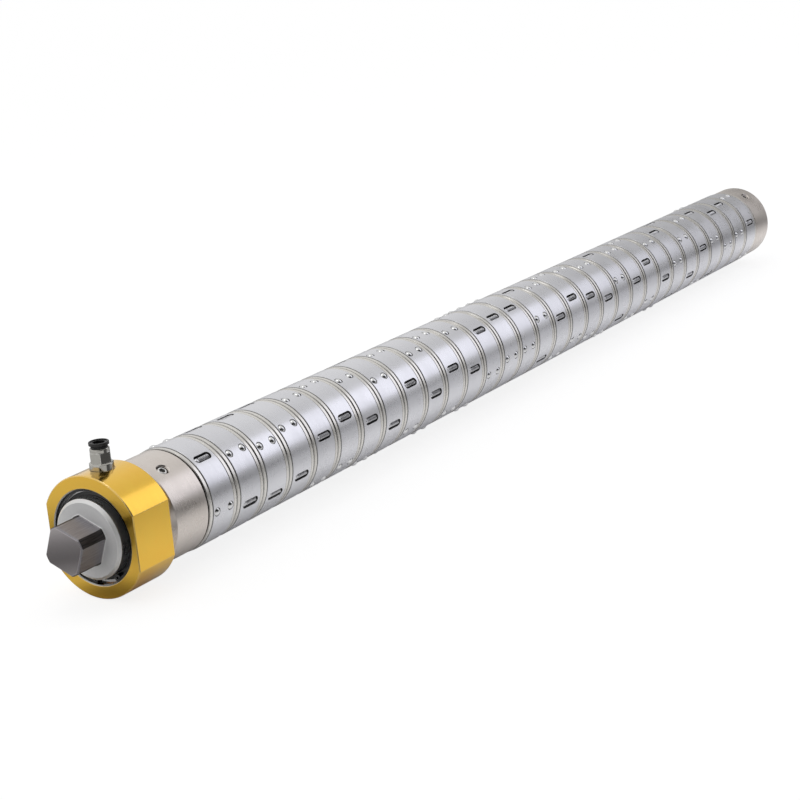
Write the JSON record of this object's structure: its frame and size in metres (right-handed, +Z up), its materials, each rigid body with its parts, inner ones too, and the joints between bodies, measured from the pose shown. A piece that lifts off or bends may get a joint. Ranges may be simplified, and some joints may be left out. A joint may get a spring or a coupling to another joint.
{
  "type": "air differential shaft",
  "caption": "Differential winding shaft with ball-lock slip rings on a grooved mandrel, clamp collars, square journals and a side-mounted air ring with push-in fitting.",
  "frame": {"origin": "on the shaft's axis, at the shoulder of the front square journal", "axes": "+X along the axis towards the rear journal, +Z up through the air fitting"},
  "size_m": [1.092, 0.0773, 0.102],
  "materials": {
    "journal_steel": "milled, lightly oiled",
    "mandrel_steel": "ground",
    "collar_nickel": "satin nickel plate",
    "screw_black": "black oxide",
    "bearing_steel": "ground",
    "cage_brass": "pressed",
    "shield_black": "black",
    "gold_anodised": "satin gold anodised",
    "carrier_aluminium": "turned",
    "seal_rubber": "moulded",
    "circlip_black": "phosphated",
    "fitting_nickel": "nickel plate",
    "fitting_plastic": "moulded",
    "strip_lining": "friction lining",
    "hub_steel": "hardened",
    "rim_nickel": "satin nickel plate",
    "sleeve_steel": "satin chrome",
    "ball_steel": "polished",
    "pin_steel": "polished"
  },
  "bodies": {
    "shaft": {"front_journal": "journal_steel", "mandrel": "mandrel_steel", "rear_journal": "journal_steel", "front_collar": "collar_nickel", "rear_collar": "collar_nickel", "collar_screws": "screw_black", "neck_spacer": "bearing_steel", "inner_races": "bearing_steel", "air_bladders": "seal_rubber"},
    "air_ring": {"air_ring": "gold_anodised", "outer_races": "bearing_steel", "bearing_shields": "shield_black", "retaining_circlip": "circlip_black", "seal_carrier": "carrier_aluminium", "rotary_seals": "seal_rubber", "fitting_body": "fitting_nickel", "tube_collet": "fitting_plastic"},
    "bearing_cages": {"bearing_cages": "cage_brass", "bearing_balls": "ball_steel"},
    "release_collar": {"release_collar": "fitting_plastic"},
    "friction_strip_a": {"friction_strip_a": "strip_lining"},
    "friction_strip_b": {"friction_strip_b": "strip_lining"},
    "friction_strip_c": {"friction_strip_c": "strip_lining"},
    "slip_ring_01": {"slip_ring_01_hub": "hub_steel", "slip_ring_01_rims": "rim_nickel"},
    "sleeve_01": {"slip_ring_01_sleeve": "sleeve_steel", "slip_ring_01_drag_pins": "pin_steel"},
    "balls_01_a": {"slip_ring_01_balls_a": "ball_steel"},
    "balls_01_b": {"slip_ring_01_balls_b": "ball_steel"},
    "balls_01_c": {"slip_ring_01_balls_c": "ball_steel"},
    "slip_ring_02": {"slip_ring_02": "sleeve_steel"},
    "slip_ring_03": {"slip_ring_03": "sleeve_steel"},
    "slip_ring_04": {"slip_ring_04": "sleeve_steel"},
    "slip_ring_05": {"slip_ring_05": "sleeve_steel"},
    "slip_ring_06": {"slip_ring_06": "sleeve_steel"},
    "slip_ring_07": {"slip_ring_07": "sleeve_steel"},
    "slip_ring_08": {"slip_ring_08": "sleeve_steel"},
    "slip_ring_09": {"slip_ring_09": "sleeve_steel"},
    "slip_ring_10": {"slip_ring_10": "sleeve_steel"},
    "slip_ring_11": {"slip_ring_11": "sleeve_steel"},
    "slip_ring_12": {"slip_ring_12": "sleeve_steel"},
    "slip_ring_13": {"slip_ring_13": "sleeve_steel"},
    "slip_ring_14": {"slip_ring_14": "sleeve_steel"},
    "slip_ring_15": {"slip_ring_15": "sleeve_steel"},
    "slip_ring_16": {"slip_ring_16": "sleeve_steel"},
    "slip_ring_17": {"slip_ring_17": "sleeve_steel"},
    "slip_ring_18": {"slip_ring_18": "sleeve_steel"},
    "slip_ring_19": {"slip_ring_19": "sleeve_steel"},
    "slip_ring_20": {"slip_ring_20": "sleeve_steel"},
    "slip_ring_21": {"slip_ring_21": "sleeve_steel"},
    "slip_ring_22": {"slip_ring_22": "sleeve_steel"},
    "slip_ring_23": {"slip_ring_23": "sleeve_steel"},
    "slip_ring_24": {"slip_ring_24": "sleeve_steel"},
    "slip_ring_25": {"slip_ring_25": "sleeve_steel"},
    "slip_ring_26": {"slip_ring_26": "sleeve_steel"},
    "slip_ring_27": {"slip_ring_27": "sleeve_steel"},
    "slip_ring_28": {"slip_ring_28": "sleeve_steel"},
    "slip_ring_29": {"slip_ring_29": "sleeve_steel"},
    "slip_ring_30": {"slip_ring_30": "sleeve_steel"},
    "slip_ring_31": {"slip_ring_31": "sleeve_steel"}
  },
  "joints": [
    {"name": "air_ring_spin", "type": "hinge", "parent": "shaft", "child": "air_ring", "pos_m": [0, 0, 0], "axis": [1, 0, 0], "continuous": true},
    {"name": "bearing_cages_spin", "type": "hinge", "parent": "shaft", "child": "bearing_cages", "pos_m": [0, 0, 0], "axis": [1, 0, 0], "continuous": true},
    {"name": "release_collar_push", "type": "slide", "parent": "air_ring", "child": "release_collar", "axis": [0, 0, -1], "range_m": [0, 0.001], "stiffness_N_per_m": 2000},
    {"name": "friction_strip_a_lift", "type": "slide", "parent": "shaft", "child": "friction_strip_a", "axis": [0, 0, 1], "range_m": [0, 0.0004]},
    {"name": "friction_strip_b_lift", "type": "slide", "parent": "shaft", "child": "friction_strip_b", "axis": [0, -0.866, -0.5], "range_m": [0, 0.0004]},
    {"name": "friction_strip_c_lift", "type": "slide", "parent": "shaft", "child": "friction_strip_c", "axis": [0, 0.866, -0.5], "range_m": [0, 0.0004]},
    {"name": "slip_ring_01_spin", "type": "hinge", "parent": "shaft", "child": "slip_ring_01", "pos_m": [0, 0, 0], "axis": [1, 0, 0], "continuous": true},
    {"name": "slip_ring_02_spin", "type": "hinge", "parent": "shaft", "child": "slip_ring_02", "pos_m": [0, 0, 0], "axis": [1, 0, 0], "continuous": true},
    {"name": "slip_ring_03_spin", "type": "hinge", "parent": "shaft", "child": "slip_ring_03", "pos_m": [0, 0, 0], "axis": [1, 0, 0], "continuous": true},
    {"name": "slip_ring_04_spin", "type": "hinge", "parent": "shaft", "child": "slip_ring_04", "pos_m": [0, 0, 0], "axis": [1, 0, 0], "continuous": true},
    {"name": "slip_ring_05_spin", "type": "hinge", "parent": "shaft", "child": "slip_ring_05", "pos_m": [0, 0, 0], "axis": [1, 0, 0], "continuous": true},
    {"name": "slip_ring_06_spin", "type": "hinge", "parent": "shaft", "child": "slip_ring_06", "pos_m": [0, 0, 0], "axis": [1, 0, 0], "continuous": true},
    {"name": "slip_ring_07_spin", "type": "hinge", "parent": "shaft", "child": "slip_ring_07", "pos_m": [0, 0, 0], "axis": [1, 0, 0], "continuous": true},
    {"name": "slip_ring_08_spin", "type": "hinge", "parent": "shaft", "child": "slip_ring_08", "pos_m": [0, 0, 0], "axis": [1, 0, 0], "continuous": true},
    {"name": "slip_ring_09_spin", "type": "hinge", "parent": "shaft", "child": "slip_ring_09", "pos_m": [0, 0, 0], "axis": [1, 0, 0], "continuous": true},
    {"name": "slip_ring_10_spin", "type": "hinge", "parent": "shaft", "child": "slip_ring_10", "pos_m": [0, 0, 0], "axis": [1, 0, 0], "continuous": true},
    {"name": "slip_ring_11_spin", "type": "hinge", "parent": "shaft", "child": "slip_ring_11", "pos_m": [0, 0, 0], "axis": [1, 0, 0], "continuous": true},
    {"name": "slip_ring_12_spin", "type": "hinge", "parent": "shaft", "child": "slip_ring_12", "pos_m": [0, 0, 0], "axis": [1, 0, 0], "continuous": true},
    {"name": "slip_ring_13_spin", "type": "hinge", "parent": "shaft", "child": "slip_ring_13", "pos_m": [0, 0, 0], "axis": [1, 0, 0], "continuous": true},
    {"name": "slip_ring_14_spin", "type": "hinge", "parent": "shaft", "child": "slip_ring_14", "pos_m": [0, 0, 0], "axis": [1, 0, 0], "continuous": true},
    {"name": "slip_ring_15_spin", "type": "hinge", "parent": "shaft", "child": "slip_ring_15", "pos_m": [0, 0, 0], "axis": [1, 0, 0], "continuous": true},
    {"name": "slip_ring_16_spin", "type": "hinge", "parent": "shaft", "child": "slip_ring_16", "pos_m": [0, 0, 0], "axis": [1, 0, 0], "continuous": true},
    {"name": "slip_ring_17_spin", "type": "hinge", "parent": "shaft", "child": "slip_ring_17", "pos_m": [0, 0, 0], "axis": [1, 0, 0], "continuous": true},
    {"name": "slip_ring_18_spin", "type": "hinge", "parent": "shaft", "child": "slip_ring_18", "pos_m": [0, 0, 0], "axis": [1, 0, 0], "continuous": true},
    {"name": "slip_ring_19_spin", "type": "hinge", "parent": "shaft", "child": "slip_ring_19", "pos_m": [0, 0, 0], "axis": [1, 0, 0], "continuous": true},
    {"name": "slip_ring_20_spin", "type": "hinge", "parent": "shaft", "child": "slip_ring_20", "pos_m": [0, 0, 0], "axis": [1, 0, 0], "continuous": true},
    {"name": "slip_ring_21_spin", "type": "hinge", "parent": "shaft", "child": "slip_ring_21", "pos_m": [0, 0, 0], "axis": [1, 0, 0], "continuous": true},
    {"name": "slip_ring_22_spin", "type": "hinge", "parent": "shaft", "child": "slip_ring_22", "pos_m": [0, 0, 0], "axis": [1, 0, 0], "continuous": true},
    {"name": "slip_ring_23_spin", "type": "hinge", "parent": "shaft", "child": "slip_ring_23", "pos_m": [0, 0, 0], "axis": [1, 0, 0], "continuous": true},
    {"name": "slip_ring_24_spin", "type": "hinge", "parent": "shaft", "child": "slip_ring_24", "pos_m": [0, 0, 0], "axis": [1, 0, 0], "continuous": true},
    {"name": "slip_ring_25_spin", "type": "hinge", "parent": "shaft", "child": "slip_ring_25", "pos_m": [0, 0, 0], "axis": [1, 0, 0], "continuous": true},
    {"name": "slip_ring_26_spin", "type": "hinge", "parent": "shaft", "child": "slip_ring_26", "pos_m": [0, 0, 0], "axis": [1, 0, 0], "continuous": true},
    {"name": "slip_ring_27_spin", "type": "hinge", "parent": "shaft", "child": "slip_ring_27", "pos_m": [0, 0, 0], "axis": [1, 0, 0], "continuous": true},
    {"name": "slip_ring_28_spin", "type": "hinge", "parent": "shaft", "child": "slip_ring_28", "pos_m": [0, 0, 0], "axis": [1, 0, 0], "continuous": true},
    {"name": "slip_ring_29_spin", "type": "hinge", "parent": "shaft", "child": "slip_ring_29", "pos_m": [0, 0, 0], "axis": [1, 0, 0], "continuous": true},
    {"name": "slip_ring_30_spin", "type": "hinge", "parent": "shaft", "child": "slip_ring_30", "pos_m": [0, 0, 0], "axis": [1, 0, 0], "continuous": true},
    {"name": "slip_ring_31_spin", "type": "hinge", "parent": "shaft", "child": "slip_ring_31", "pos_m": [0, 0, 0], "axis": [1, 0, 0], "continuous": true},
    {"name": "sleeve_01_twist", "type": "hinge", "parent": "slip_ring_01", "child": "sleeve_01", "pos_m": [0, 0, 0], "axis": [1, 0, 0], "range_deg": [-7, 3]},
    {"name": "balls_01_a_rise", "type": "slide", "parent": "sleeve_01", "child": "balls_01_a", "axis": [0, -0.9877, -0.1564], "range_m": [-0.0007, 0.0003]},
    {"name": "balls_01_b_rise", "type": "slide", "parent": "sleeve_01", "child": "balls_01_b", "axis": [0, 0.6293, -0.7771], "range_m": [-0.0007, 0.0003]},
    {"name": "balls_01_c_rise", "type": "slide", "parent": "sleeve_01", "child": "balls_01_c", "axis": [0, 0.3584, 0.9336], "range_m": [-0.0007, 0.0003]}
  ],
  "couplings": [
    {"joint": "bearing_cages_spin", "follows": "air_ring_spin", "ratio": 0.53478},
    {"joint": "friction_strip_b_lift", "follows": "friction_strip_a_lift", "ratio": 1},
    {"joint": "friction_strip_c_lift", "follows": "friction_strip_a_lift", "ratio": 1},
    {"joint": "balls_01_a_rise", "follows": "sleeve_01_twist", "m_per_rad": 0.0057296},
    {"joint": "balls_01_b_rise", "follows": "sleeve_01_twist", "m_per_rad": 0.0057296},
    {"joint": "balls_01_c_rise", "follows": "sleeve_01_twist", "m_per_rad": 0.0057296}
  ]
}
